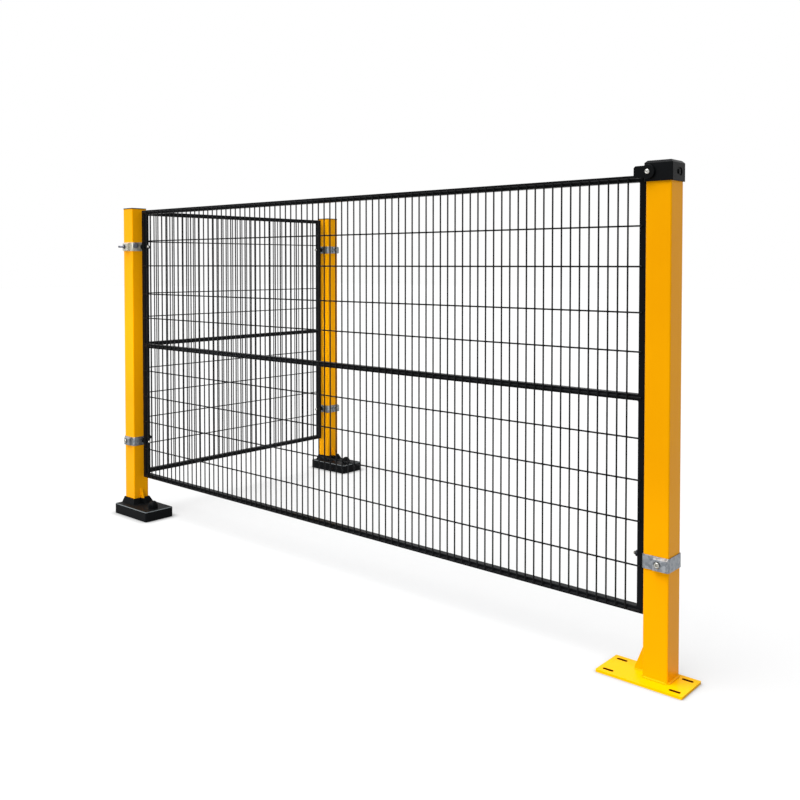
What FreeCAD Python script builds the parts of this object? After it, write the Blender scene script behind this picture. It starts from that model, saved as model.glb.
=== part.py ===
import FreeCAD, Part
import math
import os

# Corner run of machine safety fencing: two wire mesh panels at a right angle, held by three square posts.
# Millimetres, +Z up, floor at Z 0. The origin is on the corner post's axis, at the floor. The front panel
# runs along +X to the right post and its outer side faces -Y. The side panel runs along +Y to the side post
# and its outer side faces -X.

os.makedirs("parts", exist_ok=True)
Vector = FreeCAD.Vector
x_axis = Vector(1, 0, 0)
y_axis = Vector(0, 1, 0)
z_axis = Vector(0, 0, 1)

# Driving dimensions: posts
post_size = 60.0
post_wall = 2.0
post_corner_radius = 3.0
right_post_above_panel = 18.0
flat_post_above_panel = 5.5

# Driving dimensions: panels
front_panel_width = 2020.0
side_panel_width = 920.0
panel_height = 1000.0
ground_clearance = 135.0
panel_gap = 15.0
frame_width = 15.0
frame_depth = 20.0
frame_wall = 1.5
frame_corner_radius = 1.5
middle_rail_height = 495.0
front_frame_setback = 0.0
wire_diameter = 4.0
wire_pitch = 24.9
wire_end_inset = 6.0
weld_gap = 0.02
upper_wire_shares = (0.21, 0.39, 0.60, 0.785)
lower_wire_shares = (0.21, 0.42, 0.613, 0.81)

# Driving dimensions: steel base plates
plate_thickness = 6.0
plate_corner_radius = 3.0
right_plate_length = 208.0
right_plate_width = 102.0
right_plate_shift_inward = 25.0
plate_shift_outward = 14.0
slot_length = 27.0
slot_width = 9.0
slot_spacing_length = 160.0
slot_spacing_width = 68.0
gusset_thickness = 5.0
gusset_height = 88.0
gusset_foot = 33.0
gusset_toe = 4.0
anchor_hole_diameter = 13.0

# Driving dimensions: moulded foot covers of the corner and side posts
cover_length = 206.0
cover_width = 115.0
cover_height = 36.0
cover_wall = 3.5
cover_corner_radius = 6.0
cover_edge_radius = 2.5
cover_end_margin = 7.0
cover_plate_clearance = 0.5
cover_post_clearance = 0.3
cover_gusset_clearance = 0.5
cover_gusset_wall = 3.0
collar_height = 19.0
collar_top_margin = 3.0
collar_foot_margin = 12.0
collar_end_margin = 6.0
dome_radius = 17.0
dome_wall = 3.0
dome_cylinder_height = 12.0
dome_height = 26.0
dome_end_margin = 41.0

# Driving dimensions: flat caps of the corner and side posts
flat_cap_thickness = 3.5
flat_cap_overhang = 1.0
cap_plug_depth = 14.0
cap_plug_wall = 2.0
cap_plug_clearance = 0.2

# Driving dimensions: clamps that hold the panels to the posts
clamp_inset = 135.0
band_height = 32.0
band_thickness = 2.5
block_width = 34.0
block_depth = 8.0
block_bevel = 4.5
corner_block_offset = -3.0
end_block_offset = 14.0
bolt_offset_in_block = -6.0
clamp_bolt_diameter = 8.0
clamp_bolt_head_diameter = 13.0
clamp_bolt_head_height = 8.0
clamp_bolt_stub_length = 19.5
clamp_bolt_end_depth = 14.0
socket_width = 6.0
socket_depth = 4.0
pocket_diameter = 17.0
pocket_depth = 4.0
thread_clearance = 0.05
hole_clearance = 0.1
insert_diameter = 16.0
insert_length = 8.0
stud_diameter = 8.0
stud_end_length = 12.0
stud_nut_width = 13.0
stud_nut_height = 6.5
spacer_diameter = 18.0
face_screw_head_diameter = 22.0
face_screw_head_height = 4.0
face_screw_diameter = 6.0
face_screw_corner_distance = 11.0
face_screw_rise = 5.0
face_screw_end_depth = 6.0

# Driving dimensions: moulded cap of the right post and the latch that it carries
cap_wall = 3.2
cap_post_clearance = 0.3
cap_skirt_height = 36.0
cap_top_thickness = 10.0
cap_bevel = 6.0
latch_axis_distance = 22.5
latch_axis_height_in_cap = 21.0
latch_bolt_diameter = 6.0
latch_bolt_head_radius = 6.0
latch_bolt_head_height = 4.0
latch_bolt_tail = 2.0
latch_nut_width = 10.0
latch_nut_height = 5.0
latch_boss_radius = 16.0
latch_plate_thickness = 6.0
latch_plate_height = 27.0
latch_plate_bevel = 4.0
latch_reach = 33.0
latch_side_clearance = 0.5
latch_rail_clearance = 0.3
latch_back_clearance = 0.4
latch_hook_width = 8.5
latch_hook_rise = 12.0
latch_hook_bevel = 3.0
latch_lip_thickness = 5.0
latch_lip_drop = 17.0
cap_recess_length = 28.0
cap_recess_height = 18.0
cap_recess_depth = 2.0
cap_recess_shift = 3.0
cap_screw_diameter = 5.0
cap_screw_head_diameter = 11.0
cap_screw_head_height = 2.5
cap_screw_end_depth = 8.0

# Places that follow from the driving dimensions
post_half = post_size / 2
front_run = post_size + 2 * panel_gap + front_panel_width
side_run = post_size + 2 * panel_gap + side_panel_width
corner_post_at = Vector(0, 0, 0)
right_post_at = Vector(front_run, 0, 0)
side_post_at = Vector(0, side_run, 0)
panel_start = post_half + panel_gap
panel_top = ground_clearance + panel_height
right_post_top = panel_top + right_post_above_panel
flat_post_top = panel_top + flat_post_above_panel
frame_middle = front_frame_setback + frame_depth / 2
side_frame_middle = -frame_depth / 2
upper_clamp_height = panel_top - clamp_inset
lower_clamp_height = ground_clearance + clamp_inset
band_half = post_half + band_thickness
cap_half = post_half + cap_post_clearance + cap_wall
cap_bottom = right_post_top - cap_skirt_height
cap_top = right_post_top + cap_top_thickness
post_section = post_size, post_size, post_corner_radius, post_wall
frame_section = frame_width, frame_depth, frame_corner_radius, frame_wall
overrun = 1.0


def box(low, high):
    """Plain block between two opposite corners."""
    size = high - low
    return Part.makeBox(size.x, size.y, size.z, low)


def rod(diameter, start, end):
    """Round bar between two points."""
    along = end - start
    return Part.makeCylinder(diameter / 2, along.Length, start, along)


def hex_bar(across_flats, start, end, flats_towards):
    """Six-sided bar between two points, with two of its flats square to flats_towards."""
    along = end - start
    corner = across_flats / math.sqrt(3)
    first = flats_towards.cross(along).normalize() * corner
    points = []
    for step in range(6):
        turn = FreeCAD.Rotation(along, 60 * step)
        points.append(start + turn.multVec(first))
    points.append(points[0])
    return Part.Face(Part.makePolygon(points)).extrude(along)


def rounded_slab(low, high, radius):
    """Block whose four upright edges are rounded."""
    slab = box(low, high)
    upright = [edge for edge in slab.Edges if abs(edge.tangentAt(edge.FirstParameter).z) > 0.5]
    return slab.makeFillet(radius, upright)


def hollow_section(section, length):
    """Square tube standing on the origin along +Z, centred on the axis."""
    width, depth, radius, wall = section
    outer = rounded_slab(Vector(-width / 2, -depth / 2, 0), Vector(width / 2, depth / 2, length), radius)
    inside_width = width / 2 - wall
    inside_depth = depth / 2 - wall
    inner = box(Vector(-inside_width, -inside_depth, 0), Vector(inside_width, inside_depth, length))
    return outer.cut(inner)


def moved(shape, place):
    """Copy of a shape, carried to a place."""
    copy = shape.copy()
    copy.translate(place)
    return copy


def save(name, solids):
    """Write one sub-part, as a single solid or as a group of separate solids."""
    parts = [solid for shape in solids for solid in shape.Solids]
    shape = parts[0] if len(parts) == 1 else Part.makeCompound(parts)
    shape.exportStep("parts/" + name + ".step")


def mitre_block(length, flare):
    """Trapezoid that trims a tube standing along +Z: both its ends widen at 45 degrees towards -X."""
    outside = -frame_width / 2
    inside = frame_width / 2
    reach = frame_depth / 2 + overrun
    points = [Vector(outside, -reach, 0), Vector(outside, -reach, length)]
    points += [Vector(inside, -reach, length - flare), Vector(inside, -reach, flare), Vector(outside, -reach, 0)]
    return Part.Face(Part.makePolygon(points)).extrude(Vector(0, 2 * reach, 0))


def mitred_tube(length):
    """Frame tube along +Z whose long side faces -X and whose ends are cut at 45 degrees."""
    return hollow_section(frame_section, length).common(mitre_block(length, frame_width))


def mesh_wires(width):
    """Upright and level wires of one panel, on the outer side of its frame."""
    level_y = -weld_gap - wire_diameter / 2
    upright_y = level_y - wire_diameter - weld_gap
    clear_width = width - 2 * frame_width
    gaps = round(clear_width / wire_pitch)
    uprights = []
    for count in range(1, gaps):
        x = frame_width + clear_width * count / gaps
        low = Vector(x, upright_y, ground_clearance + wire_end_inset)
        uprights.append(rod(wire_diameter, low, Vector(x, upright_y, panel_top - wire_end_inset)))
    bottom = ground_clearance + frame_width / 2
    middle = ground_clearance + middle_rail_height
    top = panel_top - frame_width / 2
    heights = [bottom, middle, top]
    heights += [bottom + (middle - bottom) * share for share in lower_wire_shares]
    heights += [middle + (top - middle) * share for share in upper_wire_shares]
    levels = []
    for z in sorted(heights):
        start = Vector(wire_end_inset, level_y, z)
        levels.append(rod(wire_diameter, start, Vector(width - wire_end_inset, level_y, z)))
    return uprights, levels


def panel(width, start_holes, end_holes):
    """One welded panel: X 0 to width, frame Y 0 to frame_depth, mesh on the -Y side."""
    middle_y = frame_depth / 2
    pieces = {}
    stile = mitred_tube(panel_height)
    start_stile = moved(stile, Vector(frame_width / 2, middle_y, ground_clearance))
    stile.rotate(Vector(0, 0, 0), z_axis, 180)
    end_stile = moved(stile, Vector(width - frame_width / 2, middle_y, ground_clearance))
    for z in start_holes:
        hole_start = Vector(-overrun, middle_y, z)
        hole = rod(stud_diameter + 2 * hole_clearance, hole_start, hole_start + x_axis * (frame_width + 2 * overrun))
        start_stile = start_stile.cut(hole)
    for z in end_holes:
        hole_start = Vector(width - frame_width - overrun, middle_y, z)
        hole = rod(stud_diameter + 2 * hole_clearance, hole_start, hole_start + x_axis * (frame_width + 2 * overrun))
        end_stile = end_stile.cut(hole)
    bottom_rail = mitred_tube(width)
    bottom_rail.rotate(Vector(0, 0, 0), y_axis, 90)
    top_rail = bottom_rail.copy()
    bottom_rail.rotate(Vector(0, 0, 0), x_axis, 180)
    pieces["top_rail"] = [moved(top_rail, Vector(0, middle_y, panel_top - frame_width / 2))]
    pieces["bottom_rail"] = [moved(bottom_rail, Vector(0, middle_y, ground_clearance + frame_width / 2))]
    middle_rail = hollow_section(frame_section, width - 2 * frame_width)
    middle_rail.rotate(Vector(0, 0, 0), y_axis, 90)
    middle_place = Vector(frame_width, middle_y, ground_clearance + middle_rail_height)
    pieces["middle_rail"] = [moved(middle_rail, middle_place)]
    pieces["start_stile"] = [start_stile]
    pieces["end_stile"] = [end_stile]
    uprights, levels = mesh_wires(width)
    pieces["vertical_wires"] = uprights
    pieces["horizontal_wires"] = levels
    return pieces


def post(place, top, holes):
    """Post tube standing on its base plate, with the bolt holes already drilled."""
    tube = hollow_section(post_section, top - plate_thickness)
    tube = moved(tube, place + z_axis * plate_thickness)
    for hole in holes:
        tube = tube.cut(hole)
    return tube


def flat_cap(place):
    """Flat lid on a post, with a hollow square plug that stands inside the tube."""
    lid_half = post_half + flat_cap_overhang
    edge = Vector(lid_half, lid_half, 0)
    lid_high = place + edge + z_axis * (flat_post_top + flat_cap_thickness)
    lid_radius = post_corner_radius + flat_cap_overhang
    lid = rounded_slab(place - edge + z_axis * flat_post_top, lid_high, lid_radius)
    plug_half = post_half - post_wall - cap_plug_clearance
    hollow_half = plug_half - cap_plug_wall
    plug_edge = Vector(plug_half, plug_half, 0)
    hollow_edge = Vector(hollow_half, hollow_half, 0)
    plug_bottom = z_axis * (flat_post_top - cap_plug_depth)
    plug = box(place - plug_edge + plug_bottom, place + plug_edge + z_axis * flat_post_top)
    hollow = box(place - hollow_edge + plug_bottom, place + hollow_edge + z_axis * flat_post_top)
    return lid.fuse(plug.cut(hollow)).removeSplitter()


def slot(centre):
    """Cutter for one slotted anchor hole, long along X."""
    straight = (slot_length - slot_width) / 2
    cutter = box(Vector(centre.x - straight, centre.y - slot_width / 2, -overrun),
                 Vector(centre.x + straight, centre.y + slot_width / 2, plate_thickness + overrun))
    for side in (-1, 1):
        end = Vector(centre.x + side * straight, centre.y, -overrun)
        cutter = cutter.fuse(rod(slot_width, end, end + z_axis * (plate_thickness + 2 * overrun)))
    return cutter


def right_base_plate():
    """Slotted base plate of the right post, offset towards the panel and the outer side."""
    centre = right_post_at + Vector(-right_plate_shift_inward, -plate_shift_outward, 0)
    edge = Vector(right_plate_length / 2, right_plate_width / 2, 0)
    plate = rounded_slab(centre - edge, centre + edge + z_axis * plate_thickness, plate_corner_radius)
    for along in (-1, 1):
        for across in (-1, 1):
            offset = Vector(along * slot_spacing_length / 2, across * slot_spacing_width / 2, 0)
            plate = plate.cut(slot(centre + offset))
    return plate


def gusset(place, direction):
    """Welded triangular rib between one face of a post and its base plate."""
    face_x = place.x + direction * post_half
    foot_x = face_x + direction * gusset_foot
    back = place.y - gusset_thickness / 2
    low = plate_thickness
    points = [Vector(face_x, back, low), Vector(foot_x, back, low), Vector(foot_x, back, low + gusset_toe)]
    points += [Vector(face_x, back, low + gusset_height), Vector(face_x, back, low)]
    return Part.Face(Part.makePolygon(points)).extrude(y_axis * gusset_thickness)


def cover_corners(place):
    """Opposite corners of a foot cover's footprint on the floor."""
    low = place + Vector(-post_half - cover_end_margin, -plate_shift_outward - cover_width / 2, 0)
    return low, low + Vector(cover_length, cover_width, 0)


def anchor_point(place):
    """Centre of the anchor hole at the far end of a covered base plate."""
    low, high = cover_corners(place)
    return Vector(high.x - dome_end_margin, place.y - plate_shift_outward, 0)


def covered_base_plate(place):
    """Base plate that lies inside a foot cover, with one anchor hole under the cover's dome."""
    low, high = cover_corners(place)
    margin = Vector(cover_wall + cover_plate_clearance, cover_wall + cover_plate_clearance, 0)
    plate = rounded_slab(low + margin, high - margin + z_axis * plate_thickness, plate_corner_radius)
    hole_start = anchor_point(place) - z_axis * overrun
    return plate.cut(rod(anchor_hole_diameter, hole_start, hole_start + z_axis * (plate_thickness + 2 * overrun)))


def dome(centre, radius, bottom, shoulder, top):
    """Round tower with a bulging top."""
    rise = top - shoulder
    ball = (radius * radius + rise * rise) / (2 * rise)
    half_turn = math.asin(min(1.0, radius / ball)) / 2
    middle = Vector(ball * math.sin(half_turn), 0, top - ball + ball * math.cos(half_turn))
    edges = [Part.LineSegment(Vector(0, 0, bottom), Vector(radius, 0, bottom)).toShape()]
    edges.append(Part.LineSegment(Vector(radius, 0, bottom), Vector(radius, 0, shoulder)).toShape())
    edges.append(Part.Arc(Vector(radius, 0, shoulder), middle, Vector(0, 0, top)).toShape())
    edges.append(Part.LineSegment(Vector(0, 0, top), Vector(0, 0, bottom)).toShape())
    return moved(Part.Face(Part.Wire(edges)).revolve(Vector(0, 0, 0), z_axis, 360), centre)


def square_wire(low_x, high_x, low_y, high_y, z):
    points = [Vector(low_x, low_y, z), Vector(high_x, low_y, z), Vector(high_x, high_y, z)]
    points += [Vector(low_x, high_y, z), Vector(low_x, low_y, z)]
    return Part.makePolygon(points)


def gusset_wedge(place, half_width, margin, low, high):
    """Upright wedge that follows a covered post's gusset at a margin, between two heights."""
    back = place.y - half_width
    points = [Vector(place.x, back, low)]
    for z in (low, high):
        reach = post_half + gusset_foot * (plate_thickness + gusset_height - z) / (gusset_height - gusset_toe)
        points.append(Vector(place.x + reach + margin, back, z))
    points += [Vector(place.x, back, high), points[0]]
    return Part.Face(Part.makePolygon(points)).extrude(y_axis * 2 * half_width)


def foot_cover(place):
    """Moulded shell over a base plate, with a sloping collar round the post and a dome over the anchor."""
    low, high = cover_corners(place)
    body = rounded_slab(low, high + z_axis * cover_height, cover_corner_radius)
    rim = [edge for edge in body.Edges if min(vertex.Z for vertex in edge.Vertexes) > cover_height - overrun]
    body = body.makeFillet(cover_edge_radius, rim)
    sunk = cover_height - cover_wall
    spread = (collar_foot_margin - collar_top_margin) * cover_wall / collar_height
    foot = post_half + collar_foot_margin + spread
    end_foot = post_half + collar_end_margin
    top = post_half + collar_top_margin
    lower = square_wire(place.x - end_foot, place.x + foot, place.y - foot, place.y + foot, sunk)
    upper = square_wire(place.x - top, place.x + top, place.y - top, place.y + top, cover_height + collar_height)
    body = body.fuse(Part.makeLoft([lower, upper], True, True))
    notch = gusset_thickness / 2 + cover_gusset_clearance
    margin_round_notch = cover_gusset_clearance + cover_gusset_wall
    collar_top = cover_height + collar_height
    body = body.fuse(gusset_wedge(place, notch + cover_gusset_wall, margin_round_notch, sunk, collar_top))
    anchor = anchor_point(place)
    shoulder = cover_height + dome_cylinder_height
    body = body.fuse(dome(anchor, dome_radius, sunk, shoulder, cover_height + dome_height))
    wall = Vector(cover_wall, cover_wall, 0)
    body = body.cut(box(low + wall - z_axis * overrun, high - wall + z_axis * sunk))
    inner_top = cover_height + dome_height - dome_wall
    body = body.cut(dome(anchor, dome_radius - dome_wall, 0, shoulder, inner_top))
    opening = post_half + cover_post_clearance
    edge = Vector(opening, opening, 0)
    body = body.cut(box(place - edge, place + edge + z_axis * (collar_top + overrun)))
    notch_cutter = gusset_wedge(place, notch, cover_gusset_clearance, sunk - overrun, collar_top + overrun)
    return body.cut(notch_cutter).removeSplitter()


def on_post(shape, place, turn):
    """Copy of a shape made round a post at the origin, turned about the post's axis and set on its place."""
    copy = shape.copy()
    copy.rotate(Vector(0, 0, 0), z_axis, turn)
    copy.translate(place)
    return copy


def clamp_bolt_axis(height, block_offset):
    """Point where a clamp bolt's axis meets the post's face."""
    return Vector(block_offset + bolt_offset_in_block, -post_half, height)


def clamp_bolt_hole(height, block_offset):
    """Cutter for a clamp bolt's hole through the band and the post's wall."""
    point = clamp_bolt_axis(height, block_offset)
    reach = band_thickness + overrun
    end = point + y_axis * (post_wall + overrun)
    return rod(clamp_bolt_diameter + 2 * hole_clearance, point - y_axis * reach, end)


def clamp_band(height):
    """Strip bent square round the post."""
    centre = z_axis * height
    outer = Vector(band_half, band_half, band_height / 2)
    inner = Vector(post_half, post_half, band_height / 2)
    ring = rounded_slab(centre - outer, centre + outer, post_corner_radius + band_thickness)
    return ring.cut(rounded_slab(centre - inner, centre + inner, post_corner_radius))


def clamp_block(height, block_offset):
    """Bevelled block on the band, with a pocket for the bolt's head."""
    left = block_offset - block_width / 2
    low = height - band_height / 2
    high = height + band_height / 2
    front_y = -band_half - block_depth
    points = [Vector(left, -band_half, low), Vector(left, front_y, low + block_bevel / 2)]
    points += [Vector(left, front_y, high - block_bevel), Vector(left, -band_half, high)]
    points.append(points[0])
    block = Part.Face(Part.makePolygon(points)).extrude(x_axis * block_width)
    front = clamp_bolt_axis(height, block_offset) - y_axis * (band_thickness + block_depth)
    block = block.cut(rod(pocket_diameter, front - y_axis * overrun, front + y_axis * pocket_depth))
    diameter = clamp_bolt_diameter + 2 * hole_clearance
    return block.cut(rod(diameter, front, front + y_axis * (block_depth + overrun)))


def clamp_bolt(height, block_offset, stub_length):
    """Bolt that turns in the block and draws the band tight, with a socket or a threaded stub in front."""
    axis_point = clamp_bolt_axis(height, block_offset)
    seat = axis_point - y_axis * (band_thickness + block_depth - pocket_depth)
    front = seat - y_axis * clamp_bolt_head_height
    head = rod(clamp_bolt_head_diameter, front, seat)
    shank = rod(clamp_bolt_diameter, seat, axis_point + y_axis * clamp_bolt_end_depth)
    bolt = head.fuse(shank)
    if stub_length:
        return bolt.fuse(rod(clamp_bolt_diameter, front - y_axis * stub_length, front)).removeSplitter()
    return bolt.cut(hex_bar(socket_width, front - y_axis * overrun, front + y_axis * socket_depth, x_axis))


def clamp_insert(height, block_offset):
    """Threaded insert behind the post's wall, which takes the clamp bolt."""
    start = clamp_bolt_axis(height, block_offset) + y_axis * post_wall
    end = start + y_axis * insert_length
    ring = rod(insert_diameter, start, end)
    return ring.cut(rod(clamp_bolt_diameter + 2 * thread_clearance, start, end))


def panel_fixing(start, direction):
    """Stud on a band, the spacer in the gap beside the post and the nut inside the panel's frame."""
    stile = start + direction * (panel_gap - band_thickness)
    nut_seat = stile + direction * frame_width
    stud = rod(stud_diameter, start, nut_seat + direction * stud_end_length)
    bore = rod(stud_diameter + 2 * thread_clearance, start, nut_seat + direction * stud_end_length)
    spacer = rod(spacer_diameter, start, stile).cut(bore)
    nut = hex_bar(stud_nut_width, nut_seat, nut_seat + direction * stud_nut_height, z_axis).cut(bore)
    return stud, spacer, nut


def face_screw_axis():
    """Point on the corner post's inner face where the round-headed screw enters."""
    return Vector(post_half, -post_half + face_screw_corner_distance, upper_clamp_height + face_screw_rise)


def face_screw():
    """Round-headed screw that keeps the corner post's upper band from sliding down."""
    point = face_screw_axis()
    seat = point + x_axis * band_thickness
    head = rod(face_screw_head_diameter, seat, seat + x_axis * face_screw_head_height)
    outer_edge = [edge for edge in head.Edges if edge.Closed and edge.CenterOfMass.x > seat.x + overrun]
    head = head.makeFillet(face_screw_head_height / 2, outer_edge)
    return head.fuse(rod(face_screw_diameter, point - x_axis * face_screw_end_depth, seat)).removeSplitter()


def face_screw_hole():
    """Cutter for the round-headed screw's hole through the band and the post wall."""
    point = face_screw_axis()
    diameter = face_screw_diameter + 2 * hole_clearance
    return rod(diameter, point - x_axis * (post_wall + overrun), point + x_axis * (band_thickness + overrun))


def latch_axis():
    """Point on the latch's pivot, in the plane of the latch's front face."""
    x = right_post_at.x - latch_axis_distance
    y = -cap_half - latch_side_clearance - latch_plate_thickness
    return Vector(x, y, cap_bottom + latch_axis_height_in_cap)


def latch_bolt_hole():
    """Cutter for the latch bolt's hole through the cap and the post's wall."""
    pivot = latch_axis()
    end = Vector(pivot.x, -post_half + post_wall + overrun, pivot.z)
    return rod(latch_bolt_diameter + 2 * hole_clearance, pivot, end)


def cap_screw_axis():
    """Point on the right post's end face where the cap's screw enters."""
    return right_post_at + Vector(post_half, cap_recess_shift, cap_bottom + latch_axis_height_in_cap)


def cap_screw_hole():
    """Cutter for the cap screw's hole through the cap and the post wall."""
    point = cap_screw_axis()
    end = point + x_axis * (cap_post_clearance + cap_wall + overrun)
    return rod(cap_screw_diameter + 2 * hole_clearance, point - x_axis * (post_wall + overrun), end)


def cap_recess():
    """Oval recess in the cap's end face, round the cap screw's head."""
    floor = cap_screw_axis() + x_axis * (cap_post_clearance + cap_wall - cap_recess_depth)
    straight = (cap_recess_length - cap_recess_height) / 2
    across = Vector(0, straight, cap_recess_height / 2)
    recess = box(floor - across, floor + across + x_axis * (cap_recess_depth + overrun))
    for side in (-1, 1):
        start = floor + y_axis * side * straight
        recess = recess.fuse(rod(cap_recess_height, start, start + x_axis * (cap_recess_depth + overrun)))
    return recess


def right_post_cap():
    """Moulded cap of the right post, with a recess for its own screw and a hole for the latch bolt."""
    edge = Vector(cap_half, cap_half, 0)
    low = right_post_at - edge + z_axis * cap_bottom
    high = right_post_at + edge + z_axis * cap_top
    body = box(low, high)
    rim = [edge for edge in body.Edges if min(vertex.Z for vertex in edge.Vertexes) > cap_top - overrun]
    body = body.makeChamfer(cap_bevel, rim).common(rounded_slab(low, high, post_corner_radius))
    opening = post_half + cap_post_clearance
    inner = Vector(opening, opening, 0)
    body = body.cut(box(right_post_at - inner + z_axis * (cap_bottom - overrun),
                        right_post_at + inner + z_axis * right_post_top))
    return body.cut(cap_recess()).cut(cap_screw_hole()).cut(latch_bolt_hole()).removeSplitter()


def cap_screw():
    """Screw through the cap's end face into the post wall."""
    point = cap_screw_axis()
    seat = point + x_axis * (cap_post_clearance + cap_wall - cap_recess_depth)
    head = rod(cap_screw_head_diameter, seat, seat + x_axis * cap_screw_head_height)
    slot_half = Vector(0, cap_screw_head_diameter, cap_screw_head_height / 4)
    front = seat + x_axis * cap_screw_head_height
    cut_low = front - slot_half - x_axis * cap_screw_head_height / 2
    head = head.cut(box(cut_low, front + slot_half + x_axis * overrun))
    return head.fuse(rod(cap_screw_diameter, point - x_axis * cap_screw_end_depth, seat)).removeSplitter()


def latch():
    """Plate that turns on the cap's front face, with a hook at its end that straddles the panel's top rail."""
    pivot = latch_axis()
    plate_back = pivot + y_axis * latch_plate_thickness
    boss = rod(2 * latch_boss_radius, pivot, plate_back)
    hook_left = pivot.x - latch_reach
    half_height = z_axis * latch_plate_height / 2
    plate = box(Vector(hook_left, pivot.y, pivot.z) - half_height, plate_back + half_height)
    end_edges = [edge for edge in plate.Edges
                 if max(vertex.X for vertex in edge.Vertexes) < hook_left + overrun
                 and edge.Length < latch_plate_thickness + overrun]
    plate = plate.makeChamfer(latch_plate_bevel, end_edges)
    hook_low_z = panel_top + latch_rail_clearance
    back_y = front_frame_setback + frame_depth + latch_back_clearance
    hook = box(Vector(hook_left, pivot.y, hook_low_z),
               Vector(hook_left + latch_hook_width, back_y + latch_lip_thickness, hook_low_z + latch_hook_rise))
    top_edges = [edge for edge in hook.Edges
                 if min(vertex.Z for vertex in edge.Vertexes) > hook_low_z + latch_hook_rise - overrun]
    hook = hook.makeChamfer(latch_hook_bevel, top_edges)
    lip = box(Vector(hook_left, back_y, panel_top - latch_lip_drop),
              Vector(hook_left + latch_hook_width, back_y + latch_lip_thickness, hook_low_z + overrun))
    body = boss.fuse(plate).fuse(hook).fuse(lip)
    bore = rod(latch_bolt_diameter + 2 * hole_clearance, pivot, plate_back)
    return body.cut(bore).removeSplitter()


def latch_bolt_and_nut():
    """Domed bolt that the latch turns on, and the nut welded behind the post's wall that takes it."""
    pivot = latch_axis()
    nut_seat = Vector(pivot.x, -post_half + post_wall, pivot.z)
    nut_end = nut_seat + y_axis * latch_nut_height
    head = rod(2 * latch_bolt_head_radius, pivot - y_axis * latch_bolt_head_height, pivot)
    front_edge = [edge for edge in head.Edges if edge.Closed and edge.CenterOfMass.y < pivot.y - overrun]
    head = head.makeFillet(latch_bolt_head_height / 2, front_edge)
    shank = rod(latch_bolt_diameter, pivot, nut_end + y_axis * latch_bolt_tail)
    nut = hex_bar(latch_nut_width, nut_seat, nut_end, x_axis)
    nut = nut.cut(rod(latch_bolt_diameter + 2 * thread_clearance, nut_seat, nut_end))
    return head.fuse(shank).removeSplitter(), nut


# Clamps: name, post, turn of the block from the -Y face, height, block offset, length of the bolt's stub
clamps = [
    ("corner_upper", corner_post_at, 0, upper_clamp_height, corner_block_offset, clamp_bolt_stub_length),
    ("corner_lower", corner_post_at, 0, lower_clamp_height, corner_block_offset, 0),
    ("right_lower", right_post_at, 0, lower_clamp_height, end_block_offset, 0),
    ("side_upper", side_post_at, 90, upper_clamp_height, end_block_offset, 0),
    ("side_lower", side_post_at, 90, lower_clamp_height, end_block_offset, 0),
]

post_holes = {"corner": [face_screw_hole()], "right": [cap_screw_hole(), latch_bolt_hole()], "side": []}
inserts = []
for name, place, turn, height, block_offset, stub_length in clamps:
    bolt_hole = on_post(clamp_bolt_hole(height, block_offset), place, turn)
    post_holes[name.split("_")[0]].append(bolt_hole)
    band = on_post(clamp_band(height), place, turn).cut(bolt_hole)
    if name == "corner_upper":
        band = band.cut(face_screw_hole())
    save(name + "_clamp_band", [band])
    save(name + "_clamp_block", [on_post(clamp_block(height, block_offset), place, turn)])
    save(name + "_clamp_bolt", [on_post(clamp_bolt(height, block_offset, stub_length), place, turn)])
    inserts.append(on_post(clamp_insert(height, block_offset), place, turn))
save("clamp_inserts", inserts)
save("corner_band_screw", [face_screw()])

# Posts, caps, base plates and foot covers
save("corner_post", [post(corner_post_at, flat_post_top, post_holes["corner"])])
save("right_post", [post(right_post_at, right_post_top, post_holes["right"])])
save("side_post", [post(side_post_at, flat_post_top, post_holes["side"])])
save("corner_post_cap", [flat_cap(corner_post_at)])
save("side_post_cap", [flat_cap(side_post_at)])
save("right_post_base_plate", [right_base_plate()])
save("right_post_gusset", [gusset(right_post_at, -1)])
save("corner_post_gusset", [gusset(corner_post_at, 1)])
save("side_post_gusset", [gusset(side_post_at, 1)])
save("corner_post_base_plate", [covered_base_plate(corner_post_at)])
save("side_post_base_plate", [covered_base_plate(side_post_at)])
save("corner_foot_cover", [foot_cover(corner_post_at)])
save("side_foot_cover", [foot_cover(side_post_at)])

# Cap of the right post and the latch on it
save("right_post_cap", [right_post_cap()])
save("right_post_cap_screw", [cap_screw()])
save("panel_latch", [latch()])
latch_bolt, latch_nut = latch_bolt_and_nut()
save("latch_bolt", [latch_bolt])
save("latch_nut", [latch_nut])

# Panels: the front one starts at the corner post, the side one is turned and starts at the side post
both_heights = (upper_clamp_height, lower_clamp_height)
front_panel = panel(front_panel_width, both_heights, (lower_clamp_height,))
front_place = Vector(panel_start, front_frame_setback, 0)
for piece, shapes in front_panel.items():
    name = "front_" + piece.replace("start", "left").replace("end", "right")
    save(name, [moved(shape, front_place) for shape in shapes])

side_panel = panel(side_panel_width, both_heights, both_heights)
side_place = Vector(side_frame_middle - frame_depth / 2, side_run - panel_start, 0)
for piece, shapes in side_panel.items():
    name = "side_" + piece.replace("start", "far").replace("end", "near")
    turned = []
    for shape in shapes:
        shape.rotate(Vector(0, 0, 0), z_axis, -90)
        turned.append(moved(shape, side_place))
    save(name, turned)

# Studs that carry the panels on the bands
fixings = [panel_fixing(right_post_at + Vector(-band_half, frame_middle, lower_clamp_height), -x_axis)]
for z in both_heights:
    fixings.append(panel_fixing(Vector(band_half, frame_middle, z), x_axis))
    fixings.append(panel_fixing(Vector(side_frame_middle, band_half, z), y_axis))
    fixings.append(panel_fixing(Vector(side_frame_middle, side_run - band_half, z), -y_axis))
save("panel_studs", [stud for stud, spacer, nut in fixings])
save("panel_spacers", [spacer for stud, spacer, nut in fixings])
save("panel_nuts", [nut for stud, spacer, nut in fixings])
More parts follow.
